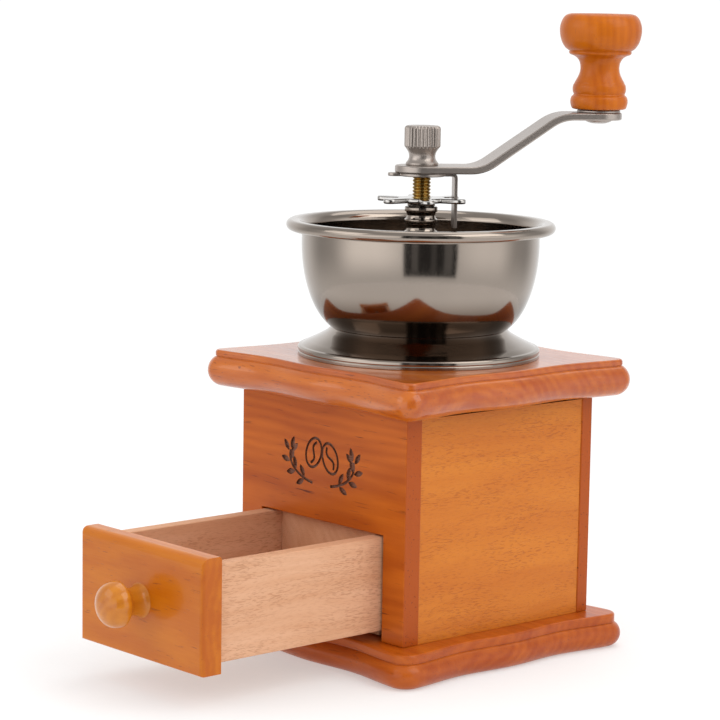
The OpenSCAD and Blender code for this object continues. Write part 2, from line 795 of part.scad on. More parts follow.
module cap_nut() {
    base_r = 5.7;
    base_h = 0.7;
    waist_r = 4.6;
    waist_h = 5;
    grip_r = 6.35;
    grip_low = 6.4;
    grip_high = 12.7;
    crown_r = 1.3;
    flutes = 28;
    flute_r = 0.5;
    steps = 8;
    hole_depth = 11.5;
    hollow = [for (i = [1:steps]) let (u = i / steps)
        [base_r - 0.1 - (base_r - waist_r) * pow(sin(180 * u), 0.7), base_h + waist_h * u]];
    color(steel) translate([0, 0, arm_z + arm_t]) difference() {
        rotate_extrude() polygon(concat(
            [[0, 0], [base_r, 0], [base_r, base_h]],
            hollow,
            [[grip_r, grip_low], [grip_r, grip_high]],
            arc(grip_r - crown_r, grip_high, crown_r, 15, 90, 5),
            [[0, grip_high + crown_r]]));
        translate([0, 0, -over]) cylinder(r = tip_r + screw_fit, h = hole_depth + over);
        for (k = [0:flutes - 1]) rotate(360 * k / flutes) translate([grip_r + 0.12, 0, grip_low - over])
            cylinder(r = flute_r, h = grip_high - grip_low + over + 0.6, $fn = 16);
    }
}

module at_knob() {
    rotate(crank_angle) translate([crank_r, 0, 0]) children();
}

module knob_washer() {
    color(steel) at_knob() translate([0, 0, arm_end_z]) ring(7.6, pin_r + screw_fit, knob_washer_t);
}

module knob_pin() {
    top = knob_z + knob_h - recess_depth + face_gap;
    bottom = arm_end_z - arm_t;
    color(steel) at_knob() rotate_extrude() polygon([
        [0, bottom - rivet_t], [rivet_r * 0.55, bottom - rivet_t], [rivet_r * 0.9, bottom - rivet_t * 0.5],
        [rivet_r, bottom], [pin_r, bottom], [pin_r, top], [pin_head_r, top],
        [pin_head_r, top + pin_head_t * 0.5], [pin_head_r * 0.6, top + pin_head_t], [0, top + pin_head_t]
    ]);
}

// Half outline of the crank's knob as fractions of its greatest radius and its height
function knob_outline() = concat(
    [[0.60, 0], [0.67, 0.02], [0.695, 0.06], [0.70, 0.10], [0.67, 0.135]],
    [[0.625, 0.155], [0.625, 0.17], [0.645, 0.20], [0.645, 0.235], [0.62, 0.27]],
    [for (i = [0:6]) let (u = i / 6)
        [0.60 - 0.14 * sin(180 * pow(u, 0.9)) + 0.10 * pow(u, 2), 0.29 + 0.28 * u]],
    [[0.77, 0.605], [0.785, 0.625]],
    [for (i = [0:7]) let (a = -58 + 16 * i) [0.80 + 0.20 * cos(a), 0.80 + 0.17 * sin(a)]],
    arc(0.74, 0.915, 0.085, 38, 90, 4));

module crank_knob() {
    color(wood) at_knob() translate([0, 0, knob_z]) difference() {
        rotate_extrude($fn = 96) polygon(concat(
            [[0, 0]], [for (p = knob_outline()) [p[0] * knob_r, p[1] * knob_h]], [[0, knob_h]]));
        translate([0, 0, -over]) cylinder(r = pin_r + run_fit, h = knob_h + 2 * over);
        translate([0, 0, knob_h - recess_depth]) cylinder(r = pin_head_r + 0.8, h = recess_depth + over);
    }
}

// ---- Drawer ----

module drawer_front() {
    round_r = 3.2;
    ease = 0.8;
    corner_r = 1.6;
    face = drawer_front_y - drawer_front_t;
    z0 = drawer_front_z;
    z1 = z0 + drawer_front_h;
    half = drawer_front_w / 2;
    color(wood) difference() {
        intersection() {
            rotate([90, 0, 90]) translate([0, 0, -half]) linear_extrude(drawer_front_w) polygon(concat(
                [[drawer_front_y, z0]],
                [[drawer_front_y, z1 - ease]],
                [[drawer_front_y - ease, z1]],
                arc(face + round_r, z1 - round_r, round_r, 90, 180, 8),
                arc(face + ease, z0 + ease, ease, 180, 270, 3)));
            linear_extrude(z1 + over) polygon(concat(
                [[half, drawer_front_y], [-half, drawer_front_y]],
                arc(corner_r - half, face + corner_r, corner_r, 180, 270, 6),
                arc(half - corner_r, face + corner_r, corner_r, 270, 360, 6)));
        }
        drawer_floor_groove();
        translate([0, drawer_front_y + over, drawer_knob_z]) rotate([90, 0, 0])
            cylinder(r = knob_screw_r + screw_fit, h = drawer_front_t + 2 * over);
    }
}

// The slot that the four sides have for the drawer's floor
module drawer_floor_groove() {
    half = drawer_side_x - drawer_side_t + groove_depth;
    box([2 * half, drawer_box_l - drawer_back_t + 2 * groove_depth, drawer_floor_t + 2 * groove_fit],
        [-half, drawer_front_y - groove_depth, drawer_floor_z - groove_fit]);
}

module drawer_side(side) {
    x = side > 0 ? drawer_side_x - drawer_side_t : -drawer_side_x;
    color(raw_wood) difference() {
        box([drawer_side_t, drawer_box_l, drawer_side_h], [x, drawer_front_y, drawer_side_z]);
        drawer_floor_groove();
    }
}

module drawer_side_left() {
    drawer_side(-1);
}

module drawer_side_right() {
    drawer_side(1);
}

module drawer_back() {
    half = drawer_side_x - drawer_side_t;
    color(raw_wood) difference() {
        box([2 * half, drawer_back_t, drawer_side_z + drawer_side_h - drawer_front_z],
            [-half, drawer_back_y - drawer_back_t, drawer_front_z]);
        drawer_floor_groove();
    }
}

module drawer_bottom() {
    half = drawer_side_x - drawer_side_t + groove_depth - groove_fit;
    depth = drawer_box_l - drawer_back_t + 2 * groove_depth - 2 * groove_fit;
    color(raw_wood) box([2 * half, depth, drawer_floor_t],
        [-half, drawer_front_y - groove_depth + groove_fit, drawer_floor_z]);
}

// Half outline of the drawer's knob as fractions of its greatest radius and its length
function drawer_knob_outline() = concat(
    [[0.76, 0], [0.70, 0.04], [0.63, 0.14], [0.60, 0.26], [0.64, 0.38], [0.76, 0.47], [0.90, 0.52]],
    [[0.97, 0.545], [1, 0.58], [1, 0.64], [0.96, 0.74], [0.84, 0.85], [0.64, 0.93], [0.4, 0.98], [0, 1]]);

module drawer_knob() {
    hole_depth = 9;
    face_y = drawer_front_y - drawer_front_t;
    color(wood) translate([0, face_y, drawer_knob_z]) rotate([90, 0, 0]) difference() {
        rotate_extrude($fn = 96) polygon(concat(
            [[0, 0]], [for (p = drawer_knob_outline()) [p[0] * drawer_knob_r, p[1] * drawer_knob_l]]));
        translate([0, 0, -over]) cylinder(r = knob_screw_r + screw_fit, h = hole_depth + over);
    }
}

module drawer_knob_screw() {
    head_r = 3.8;
    head_t = 2;
    in_knob = 7.5;
    tip_l = 1;
    slot_w = 0.9;
    slot_depth = 0.9;
    slot_l = 2 * head_r + 2 * over;
    length = head_t + drawer_front_t + in_knob;
    color(steel) translate([0, drawer_front_y + head_t, drawer_knob_z]) rotate([90, 0, 0]) difference() {
        rotate_extrude() polygon([
            [0, 0], [head_r * 0.6, 0], [head_r, head_t * 0.5], [head_r, head_t], [knob_screw_r, head_t],
            [knob_screw_r, length - tip_l], [knob_screw_r * 0.6, length], [0, length]
        ]);
        box([slot_l, slot_w, 2 * slot_depth], [-slot_l / 2, -slot_w / 2, -slot_depth]);
    }
}

base_plate();
base_screws();
front_panel();
rear_panel();
side_panel_left();
side_panel_right();
top_dowels();
top_plate();
hopper_flange();
hopper_bowl();
bearing_bridge();
bridge_screws();
bridge_nuts();
bridge_bushing();
thrust_washer();
outer_burr();
spindle();
inner_burr();
burr_washer();
burr_nut();
burr_spring();
adjusting_collar();
adjusting_wheel();
lock_bracket();
crank_arm();
cap_nut();
knob_washer();
knob_pin();
crank_knob();
drawer_front();
drawer_side_left();
drawer_side_right();
drawer_back();
drawer_bottom();
drawer_knob();
drawer_knob_screw();
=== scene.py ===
import json
import math

import bmesh
import bpy
from mathutils import Matrix, Vector


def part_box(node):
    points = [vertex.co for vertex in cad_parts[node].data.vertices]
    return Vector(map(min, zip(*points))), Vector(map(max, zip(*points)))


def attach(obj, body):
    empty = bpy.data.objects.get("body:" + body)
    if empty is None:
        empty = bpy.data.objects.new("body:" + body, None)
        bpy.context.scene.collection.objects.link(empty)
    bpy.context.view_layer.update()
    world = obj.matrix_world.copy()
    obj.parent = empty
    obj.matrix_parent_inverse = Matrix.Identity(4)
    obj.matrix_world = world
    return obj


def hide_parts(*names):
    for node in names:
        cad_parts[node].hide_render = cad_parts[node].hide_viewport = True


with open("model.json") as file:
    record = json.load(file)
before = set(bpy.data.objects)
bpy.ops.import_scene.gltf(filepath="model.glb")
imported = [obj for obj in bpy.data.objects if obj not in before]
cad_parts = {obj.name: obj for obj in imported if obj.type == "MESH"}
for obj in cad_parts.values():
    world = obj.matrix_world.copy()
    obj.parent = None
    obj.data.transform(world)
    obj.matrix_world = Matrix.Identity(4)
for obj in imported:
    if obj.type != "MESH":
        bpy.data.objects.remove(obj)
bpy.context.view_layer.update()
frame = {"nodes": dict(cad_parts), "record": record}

MM = 0.001
TAU = 2 * math.pi

RECORD = frame["record"]
NODE_BODY = {node: body for body, nodes in RECORD["behaviour"]["bodies"].items() for node in nodes}
NODE_SLOT = {row["node"]: row["material_slot"] for row in RECORD["subparts"]}


def span(node):
    """Lowest and highest corner of a CAD node, in millimetres."""
    low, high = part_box(node)
    return low / MM, high / MM


class Nodes:
    """A node tree, with short calls for the nodes that the studio and the finishes share."""

    def __init__(self, tree):
        self.tree = tree

    def put(self, socket, value):
        """Links a socket to another node's output, or sets the socket's own value."""
        if isinstance(value, bpy.types.NodeSocket):
            self.tree.links.new(value, socket)
        elif isinstance(value, tuple) and len(value) == 3 and socket.type == "RGBA":
            socket.default_value = (*value, 1)
        else:
            socket.default_value = value

    def add(self, kind, inputs, output=0, **settings):
        """Adds a node with its settings and inputs, and returns one of its outputs, if it has any."""
        node = self.tree.nodes.new(kind)
        for key, value in settings.items():
            setattr(node, key, value)
        for key, value in inputs.items():
            self.put(node.inputs[key], value)
        return node.outputs[output] if node.outputs else None

    def math(self, operation, *values):
        return self.add("ShaderNodeMath", dict(enumerate(values)), operation=operation)

    def step(self, value, low, high, to_low=0.0, to_high=1.0):
        """Goes smoothly from one level to another as the value goes from low to high."""
        return self.add("ShaderNodeMapRange", {"Value": value, "From Min": low, "From Max": high,
                                               "To Min": to_low, "To Max": to_high},
                        interpolation_type="SMOOTHSTEP")


# ---- Camera and light ----

CAMERA_AIM = Vector((-14.0, -15.1, 100.6)) * MM
CAMERA_AZIMUTH = math.radians(48.3)
CAMERA_ELEVATION = math.radians(8.02)
CAMERA_ROLL = math.radians(0.94)
CAMERA_DISTANCE = 0.934
CAMERA_LENS = 132
SENSOR_WIDTH = 36


def direction(azimuth, elevation):
    """Unit vector towards a place around the object. Azimuth 0 faces the drawer, 90 the right side panel."""
    level = math.cos(elevation)
    return Vector((math.sin(azimuth) * level, -math.cos(azimuth) * level, math.sin(elevation)))


def facing(backwards, roll=0.0):
    """Rotation whose +Z axis points backwards and whose +X axis is level, then rolled."""
    right = Vector((0, 0, 1)).cross(backwards).normalized()
    up = backwards.cross(right)
    side = right * math.cos(roll) + up * math.sin(roll)
    return Matrix((side, backwards.cross(side), backwards)).transposed().to_4x4()


def add_camera():
    data = bpy.data.cameras.new("camera")
    data.lens = CAMERA_LENS
    data.sensor_width = SENSOR_WIDTH
    camera = bpy.data.objects.new("camera", data)
    backwards = direction(CAMERA_AZIMUTH, CAMERA_ELEVATION)
    place = Matrix.Translation(CAMERA_AIM + backwards * CAMERA_DISTANCE)
    camera.matrix_world = place @ facing(backwards, CAMERA_ROLL)
    bpy.context.scene.collection.objects.link(camera)
    bpy.context.scene.camera = camera


# Azimuth, elevation, distance, width, height, power and colour of each softbox
SOFTBOXES = {
    "key": (105, 42, 1.3, 0.9, 0.9, 5, (1.0, 0.985, 0.96)),
    "fill": (-25, 30, 1.5, 1.0, 0.8, 3, (1.0, 0.99, 0.975)),
    "top": (200, 65, 1.4, 1.1, 1.1, 4, (1.0, 1.0, 1.0)),
}


def add_softbox(name, azimuth, elevation, distance, width, height, power, colour):
    data = bpy.data.lights.new(name, "AREA")
    data.shape = "RECTANGLE"
    data.size = width
    data.size_y = height
    data.energy = power
    data.color = colour
    light = bpy.data.objects.new(name, data)
    backwards = direction(math.radians(azimuth), math.radians(elevation))
    light.matrix_world = Matrix.Translation(CAMERA_AIM + backwards * distance) @ facing(backwards)
    bpy.context.scene.collection.objects.link(light)


# What polished metal sees around it. Each card has an azimuth, elevation, half width and half height in
# degrees, the factor by which it changes the light there, and the softness of its edge.
WIDE_CARDS = (
    (-4, -12, 34, 28, 1.86, 0.8),
    (-57, 4, 22, 34, 0.60, 0.7),
    (119, -12, 30, 28, 1.50, 0.8),
    (160, 4, 20, 34, 0.55, 0.7),
    (228, 4, 60, 30, 1.10, 0.6),
)
# One dark card behind the camera, with three narrow lighter strips in it
DARK_BOX_CARDS = (
    (57, 6, 26, 27, 0.04, 0.04),
    (42, 6, 3, 24, 4.5, 0.12),
    (60, 6, 2.5, 24, 3.0, 0.12),
    (74, 6, 4, 24, 5.0, 0.12),
)
# Brightness of the walls, the ceiling and the table in metal, and the elevations between which they change
STUDIO_LEVEL, CEILING_LEVEL, TABLE_LEVEL = 0.95, 0.62, 1.0
CEILING_START, CEILING_END = 14, 36
TABLE_START, TABLE_END = -6, -24
EVEN_LIGHT = 0.95
CAMERA_WHITE = 1.05


def with_cards(nodes, bearing, height, level, cards):
    """The level in each direction, made brighter or darker where a card stands."""
    for azimuth, elevation, half_w, half_h, factor, softness in cards:
        turn = nodes.math("WRAP", nodes.math("SUBTRACT", bearing, math.radians(azimuth)), math.pi, -math.pi)
        climb = nodes.math("SUBTRACT", height, math.radians(elevation))
        across = nodes.math("DIVIDE", nodes.math("ABSOLUTE", turn), math.radians(half_w))
        along = nodes.math("DIVIDE", nodes.math("ABSOLUTE", climb), math.radians(half_h))
        card = nodes.step(nodes.math("MAXIMUM", across, along), 1 - softness, 1 + softness, factor, 1.0)
        level = nodes.math("MULTIPLY", level, card)
    return level


def level_in_metal(nodes):
    """How bright the studio is in each direction for polished metal: walls, ceiling, table and cards."""
    point = nodes.add("ShaderNodeTexCoord", {}, "Generated")
    x, y, z = (nodes.add("ShaderNodeSeparateXYZ", {0: point}, axis) for axis in "XYZ")
    bearing = nodes.math("ARCTAN2", x, nodes.math("MULTIPLY", y, -1.0))
    height = nodes.math("ARCSINE", z)
    start, end = math.radians(CEILING_START), math.radians(CEILING_END)
    walls = nodes.step(height, start, end, STUDIO_LEVEL, CEILING_LEVEL)
    walls = with_cards(nodes, bearing, height, walls, WIDE_CARDS)
    table = nodes.step(height, math.radians(TABLE_END), math.radians(TABLE_START), 1.0, 0.0)
    table_rise = nodes.math("MULTIPLY", table, nodes.math("SUBTRACT", TABLE_LEVEL, walls))
    room = nodes.math("ADD", walls, table_rise)
    return with_cards(nodes, bearing, height, room, DARK_BOX_CARDS)


def add_world():
    """A white studio: plain white for the camera, even light on wood, dark and bright cards in metal."""
    world = bpy.data.worlds.new("studio")
    world.use_nodes = True
    world.node_tree.nodes.clear()
    nodes = Nodes(world.node_tree)

    def white(strength):
        return nodes.add("ShaderNodeBackground", {"Color": (1.0, 1.0, 1.0), "Strength": strength})

    def choose(ray, otherwise, chosen):
        is_ray = nodes.add("ShaderNodeLightPath", {}, ray)
        return nodes.add("ShaderNodeMixShader", {0: is_ray, 1: otherwise, 2: chosen})

    lit = choose("Is Glossy Ray", white(EVEN_LIGHT), white(level_in_metal(nodes)))
    seen = choose("Is Camera Ray", lit, white(CAMERA_WHITE))
    nodes.add("ShaderNodeOutputWorld", {"Surface": seen})
    bpy.context.scene.world = world


# ---- Materials ----


class Graph(Nodes):
    """A material's node tree, with the textures that the finishes are made of."""

    def __init__(self, name):
        self.material = bpy.data.materials.new(name)
        self.material.use_nodes = True
        super().__init__(self.material.node_tree)
        self.shader = self.tree.nodes["Principled BSDF"]

    def place(self):
        """The point in the part's frame, in millimetres."""
        point = self.add("ShaderNodeTexCoord", {}, "Object")
        return self.scaled(point, (1 / MM, 1 / MM, 1 / MM))

    def scaled(self, vector, scale, shift=(0, 0, 0)):
        return self.add("ShaderNodeMapping", {"Vector": vector, "Scale": scale, "Location": shift})

    def along(self, vector, axis):
        """The same point with the wood's grain direction turned to X."""
        if axis == "X":
            return vector
        turn = {"Y": (0, 0, -TAU / 4), "Z": (0, TAU / 4, 0)}[axis]
        return self.add("ShaderNodeMapping", {"Vector": vector, "Rotation": turn})

    def end_grain(self, axis):
        """1 on the faces that cut across the grain, and 0 along it."""
        normal = self.add("ShaderNodeTexCoord", {}, "Normal")
        parts = self.add("ShaderNodeSeparateXYZ", {0: normal}, axis)
        return self.step(self.math("ABSOLUTE", parts), 0.55, 0.9)

    def noise(self, vector, detail=2.0, roughness=0.5, output="Fac"):
        return self.add("ShaderNodeTexNoise", {"Vector": vector, "Scale": 1.0, "Detail": detail,
                                               "Roughness": roughness}, output)

    def mix(self, factor, first, second):
        node = self.tree.nodes.new("ShaderNodeMix")
        node.data_type = "RGBA"
        self.put(node.inputs["Factor"], factor)
        self.put(node.inputs[6], first)
        self.put(node.inputs[7], second)
        return node.outputs[2]

    def finish(self, colour, roughness, bump=None, bump_height=0.05, **values):
        self.put(self.shader.inputs["Base Color"], colour)
        self.put(self.shader.inputs["Roughness"], roughness)
        if bump is not None:
            heights = {"Height": bump, "Distance": bump_height * MM, "Strength": 1.0}
            self.put(self.shader.inputs["Normal"], self.add("ShaderNodeBump", heights, "Normal"))
        for key, value in values.items():
            self.put(self.shader.inputs[key.replace("_", " ").title().replace("Ior", "IOR")], value)
        return self.material


def wood(name, light, dark, pore, grain="X", pith=(0, 30, -40), ring_gap=3.2, ring_share=0.35,
         tone_share=0.6, end_share=0.3, pore_size=(0.16, 2.6), pore_level=0.62, pore_share=0.6,
         fibre_share=0.35, roughness=0.36, coat=0.3, coat_roughness=0.15, relief=0.04):
    """Sawn wood: growth rings round a pith line, changes of tone, short dark pores and darker end grain."""
    g = Graph(name)
    point = g.along(g.place(), grain)
    warp = g.noise(g.scaled(point, (0.012, 0.05, 0.05)), detail=2, output="Color")
    bent = g.add("ShaderNodeVectorMath", {0: point, 1: g.scaled(warp, (0, 9, 9))}, operation="ADD")
    rings = g.add("ShaderNodeTexWave", {"Vector": g.scaled(bent, (0.06, 1, 1), pith),
                                        "Scale": TAU / (20 * ring_gap), "Distortion": 1.2, "Detail": 3,
                                        "Detail Scale": 0.6}, "Fac",
                  wave_type="RINGS", rings_direction="X", wave_profile="SIN")
    tone = g.noise(g.scaled(bent, (0.018, 0.10, 0.10)), detail=4, roughness=0.55)
    fibre = g.noise(g.scaled(point, (0.10, 1.9, 1.9)), detail=3, roughness=0.6)
    pores = g.noise(g.scaled(bent, (pore_size[0], pore_size[1], pore_size[1])), detail=1.5, roughness=0.45)
    patches = g.noise(g.scaled(point, (0.03, 0.12, 0.12), (7, 3, 5)), detail=1)
    pore_spots = g.step(pores, pore_level, pore_level + 0.09)
    pore_mask = g.math("MULTIPLY", pore_spots, g.step(patches, 0.32, 0.62, 0.35))
    tones = g.math("MULTIPLY", g.step(tone, 0.3, 0.7), tone_share)
    shade = g.math("ADD", g.math("MULTIPLY", rings, ring_share), tones)
    shade = g.math("ADD", shade, g.math("MULTIPLY", g.math("SUBTRACT", fibre, 0.5), fibre_share))
    shade = g.math("ADD", shade, g.math("MULTIPLY", g.end_grain(grain), end_share))
    body = g.mix(g.math("MULTIPLY", pore_mask, pore_share), g.mix(shade, light, dark), pore)
    height = g.math("SUBTRACT", g.math("MULTIPLY", fibre, 0.35), pore_mask)
    rough = g.step(fibre, 0.3, 0.7, roughness - 0.05, roughness + 0.07)
    return g.finish(body, rough, height, relief, coat_weight=coat, coat_roughness=coat_roughness,
                    specular_ior_level=0.18)


METAL_WEAR = 0.04
# Painted shade: the dark colour laid on the black nickel low on the bowl and flange, where the recess between
# them is in shade and the wood's reflection is dim
PAINTED_RECESS_SHADE = (0.095, 0.066, 0.048)
BOWL_FOOT = span("hopper_bowl")[0].z


def metal(name, colour, roughness, painted_shade=None, metallic=1.0):
    """Plated or bare metal with faint clouding and a finely uneven shine.

    Painted shade gives three heights: shade painted on the metal starts at the first and fades out between
    the other two.
    """
    g = Graph(name)
    point = g.place()
    cloud = g.noise(g.scaled(point, (0.025, 0.025, 0.025)), detail=2)
    fine = g.noise(g.scaled(point, (1.4, 1.4, 1.4)), detail=4, roughness=0.65)
    darker = tuple(c * 0.9 for c in colour)
    tint = g.mix(g.step(cloud, 0.35, 0.65), colour, darker)
    # Painted shade, not a colour of the plating: the metal is darkened between the given heights
    if painted_shade:
        start, full, end = painted_shade
        z = g.add("ShaderNodeSeparateXYZ", {0: point}, "Z")
        painted_shade_mask = g.math("MULTIPLY", g.math("GREATER_THAN", z, start), g.step(z, full, end, 1.0, 0.0))
        tint = g.mix(painted_shade_mask, tint, PAINTED_RECESS_SHADE)
    rough = g.step(fine, 0.3, 0.75, roughness - METAL_WEAR / 2, roughness + METAL_WEAR)
    return g.finish(tint, rough, metallic=metallic)


def cast_iron(name):
    g = Graph(name)
    point = g.place()
    grit = g.noise(g.scaled(point, (2.2, 2.2, 2.2)), detail=4, roughness=0.7)
    cloud = g.noise(g.scaled(point, (0.15, 0.15, 0.15)), detail=3)
    tint = g.mix(g.step(cloud, 0.3, 0.7), (0.17, 0.16, 0.15), (0.10, 0.09, 0.085))
    return g.finish(tint, g.step(grit, 0.3, 0.7, 0.42, 0.62), grit, 0.12, metallic=0.9)


def burnt_wood(name):
    """The floor and walls of the engraved lines, scorched by the tool."""
    g = Graph(name)
    point = g.place()
    grit = g.noise(g.scaled(point, (0.5, 2.4, 2.4)), detail=4, roughness=0.7)
    tint = g.mix(g.step(grit, 0.35, 0.7), (0.12, 0.040, 0.020), (0.26, 0.105, 0.060))
    return g.finish(tint, 0.62, grit, 0.12)


def floor_paper(name):
    """White paper that glows a little, so that it runs into the white of the studio."""
    g = Graph(name)
    grain = g.noise(g.scaled(g.place(), (0.4, 0.4, 0.4)), detail=2)
    return g.finish(g.mix(grain, (0.55, 0.55, 0.55), (0.57, 0.57, 0.57)), 0.9, specular_ior_level=0.0,
                    emission_color=(1.0, 1.0, 1.0), emission_strength=0.40)


FINISH = {
    "plate_lacquer": wood("plate_lacquer", (0.60, 0.150, 0.008), (0.40, 0.068, 0.003), (0.13, 0.020, 0.003),
                          pith=(0, 22, -70), ring_gap=3.6, ring_share=0.24, pore_level=0.63,
                          end_share=0.35, coat=0.85, coat_roughness=0.12),
    # Painted shade: the base is a darker copy of the plate lacquer, for the lesser light that reaches it low
    # down
    "base_lacquer_painted_shade": wood("base_lacquer_painted_shade", (0.52, 0.115, 0.006), (0.35, 0.055, 0.002), (0.12, 0.018, 0.003),
                         pith=(0, 30, -45), ring_gap=3.6, ring_share=0.24, pore_level=0.63, coat=0.35,
                         coat_roughness=0.14),
    "front_wood": wood("front_wood", (0.55, 0.128, 0.008), (0.385, 0.070, 0.003), (0.09, 0.012, 0.002),
                       pith=(0, 60, -50), end_share=0.9, pore_size=(0.08, 1.5), pore_level=0.66,
                       pore_share=0.85, coat=0.12, coat_roughness=0.25),
    "side_wood": wood("side_wood", (0.61, 0.192, 0.020), (0.50, 0.128, 0.012), (0.34, 0.070, 0.008),
                      grain="Y", pith=(0, 70, -60), ring_share=0.12, tone_share=0.5,
                      pore_size=(0.42, 3.6), pore_level=0.55, pore_share=0.5, coat=0.12,
                      coat_roughness=0.28),
    "raw_beech": wood("raw_beech", (0.71, 0.405, 0.250), (0.61, 0.310, 0.168), (0.37, 0.15, 0.066),
                      grain="Y", pith=(0, 40, -90), ring_share=0.2, pore_size=(0.40, 3.8),
                      pore_level=0.54, pore_share=0.42, roughness=0.6, coat=0.0, relief=0.05),
    "drawer_lacquer": wood("drawer_lacquer", (0.60, 0.178, 0.003), (0.45, 0.098, 0.001),
                           (0.18, 0.030, 0.002), pith=(0, 45, -30), ring_share=0.25, pore_level=0.66,
                           coat=0.32, coat_roughness=0.10),
    "honey_lacquer": wood("honey_lacquer", (0.62, 0.215, 0.010), (0.46, 0.130, 0.006),
                          (0.33, 0.085, 0.006), grain="Y", pith=(0, 9, -26), ring_share=0.3,
                          pore_level=0.66, pore_share=0.3, end_share=0.1, coat=0.75, coat_roughness=0.06),
    "knob_lacquer": wood("knob_lacquer", (0.57, 0.142, 0.002), (0.41, 0.080, 0.001), (0.18, 0.026, 0.001),
                         grain="Z", pith=(0, 14, 6), ring_share=0.25, pore_level=0.66, pore_share=0.3,
                         end_share=0.1, coat=0.15, coat_roughness=0.12),
    # Painted shade on the black nickel from the bowl's foot upward, in the recess between bowl and flange
    "black_nickel": metal("black_nickel", (0.345, 0.294, 0.252), 0.11,
                          painted_shade=(BOWL_FOOT - 0.05, BOWL_FOOT + 4, BOWL_FOOT + 15)),
    "pearl_nickel": metal("pearl_nickel", (0.42, 0.368, 0.332), 0.31, metallic=0.8),
    "bright_nickel": metal("bright_nickel", (0.50, 0.48, 0.46), 0.13),
    "brass": metal("brass", (0.42, 0.27, 0.08), 0.24),
    "bronze": metal("bronze", (0.50, 0.32, 0.17), 0.32),
    "cast_iron": cast_iron("cast_iron"),
    "plain_steel": metal("plain_steel", (0.48, 0.47, 0.45), 0.28),
}


# ---- Outlines and meshes ----


def arc(cx, cy, r, start, end, steps):
    """Points on a circle, with angles in degrees."""
    angles = (math.radians(start + (end - start) * i / steps) for i in range(steps + 1))
    return [(cx + r * math.cos(a), cy + r * math.sin(a)) for a in angles]


def spline(points, per=6):
    """Points along a smooth curve through the given ones."""
    padded = [points[0], *points, points[-1]]
    curve = []
    for a, b, c, d in zip(padded, padded[1:], padded[2:], padded[3:]):
        for k in range(per):
            t = k / per
            curve.append(tuple(
                0.5 * (2 * q + (r - p) * t + (2 * p - 5 * q + 4 * r - s) * t * t
                       + (3 * q - p - 3 * r + s) * t ** 3)
                for p, q, r, s in zip(a, b, c, d)))
    return [*curve, tuple(points[-1])]


def eased(points, reach, closed=False, limit=25):
    """The same outline with each corner sharper than limit degrees turned in a short curve."""
    out = []
    last = len(points) - 1
    longest_share = 0.45
    for i, here in enumerate(points):
        if not closed and i in (0, last):
            out.append(here)
            continue
        p = Vector(here)
        before, after = Vector(points[i - 1]) - p, Vector(points[(i + 1) % len(points)]) - p
        if before.length < 1e-6 or after.length < 1e-6:
            continue
        if before.angle(after) > math.radians(180 - limit):
            out.append(here)
            continue
        r = min(reach, before.length * longest_share, after.length * longest_share)
        start, end = p + before.normalized() * r, p + after.normalized() * r
        for t in (0, 0.25, 0.5, 0.75, 1):
            out.append(tuple(start * (1 - t) ** 2 + p * (2 * t * (1 - t)) + end * t * t))
    return out


def loft(rings, closed=False):
    """A mesh through rings of points. A ring of one point is a pole."""
    bm = bmesh.new()
    rows = [[bm.verts.new(p) for p in ring] for ring in rings]
    pairs = list(zip(rows, rows[1:]))
    if closed:
        pairs.append((rows[-1], rows[0]))
    for low, high in pairs:
        n = max(len(low), len(high))
        for i in range(n):
            j = (i + 1) % n
            corners = [low[i % len(low)], low[j % len(low)], high[j % len(high)], high[i % len(high)]]
            corners = list(dict.fromkeys(corners))
            if len(corners) > 2:
                bm.faces.new(corners)
    return bm


def cap(bm, ring):
    """Closes a mesh with one flat face over a ring of its points."""
    bm.faces.new([bm.verts[i] for i in ring])


def lathe(profile, turns=128, closed=False, radius=None):
    """A mesh turned about Z from (radius, height) points in millimetres. radius() may change a radius."""
    rings = []
    for r, z in profile:
        if r < 1e-4:
            rings.append([Vector((0, 0, z)) * MM])
            continue
        ring = []
        for i in range(turns):
            a = TAU * i / turns
            rr = radius(r, z, a) if radius else r
            ring.append(Vector((rr * math.cos(a), rr * math.sin(a), z)) * MM)
        rings.append(ring)
    return loft(rings, closed)


def piece(bm, node, finish=None, crease=35):
    """A finer piece that stands for a CAD node and rides on the same body."""
    bmesh.ops.recalc_face_normals(bm, faces=bm.faces)
    mesh = bpy.data.meshes.new(node + "_fine")
    bm.to_mesh(mesh)
    bm.free()
    mesh.shade_smooth()
    mesh.set_sharp_from_angle(angle=math.radians(crease))
    mesh.materials.append(FINISH[finish or NODE_SLOT[node]])
    obj = bpy.data.objects.new(mesh.name, mesh)
    bpy.context.scene.collection.objects.link(obj)
    weigh = obj.modifiers.new("flat faces stay flat", "WEIGHTED_NORMAL")
    weigh.keep_sharp = True
    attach(obj, NODE_BODY[node])
    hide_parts(node)
    return obj


def cad_copy(node):
    """The CAD node's mesh with its seams welded and its flat faces whole."""
    bm = bmesh.new()
    bm.from_mesh(frame["nodes"][node].data)
    bmesh.ops.remove_doubles(bm, verts=bm.verts, dist=0.002 * MM)
    bmesh.ops.dissolve_limit(bm, angle_limit=math.radians(0.3), verts=bm.verts, edges=bm.edges)
    return bm


def ease_edges(bm, width, sharp=40, segments=3, only=None):
    """Rounds every edge that is sharper than the limit in degrees, by a width in millimetres."""
    edges = [e for e in bm.edges if len(e.link_faces) == 2 and e.calc_face_angle() > math.radians(sharp)
             and (only is None or only(e))]
    bmesh.ops.bevel(bm, geom=edges, offset=width * MM, offset_type="OFFSET", segments=segments, profile=0.5,
                    affect="EDGES", clamp_overlap=True)
    return bm


def eased_piece(node, width, **options):
    return piece(ease_edges(cad_copy(node), width, **options), node)


# ---- Wooden body ----

EDGE_WAVE = 1.7
EDGE_SAG = 1.1


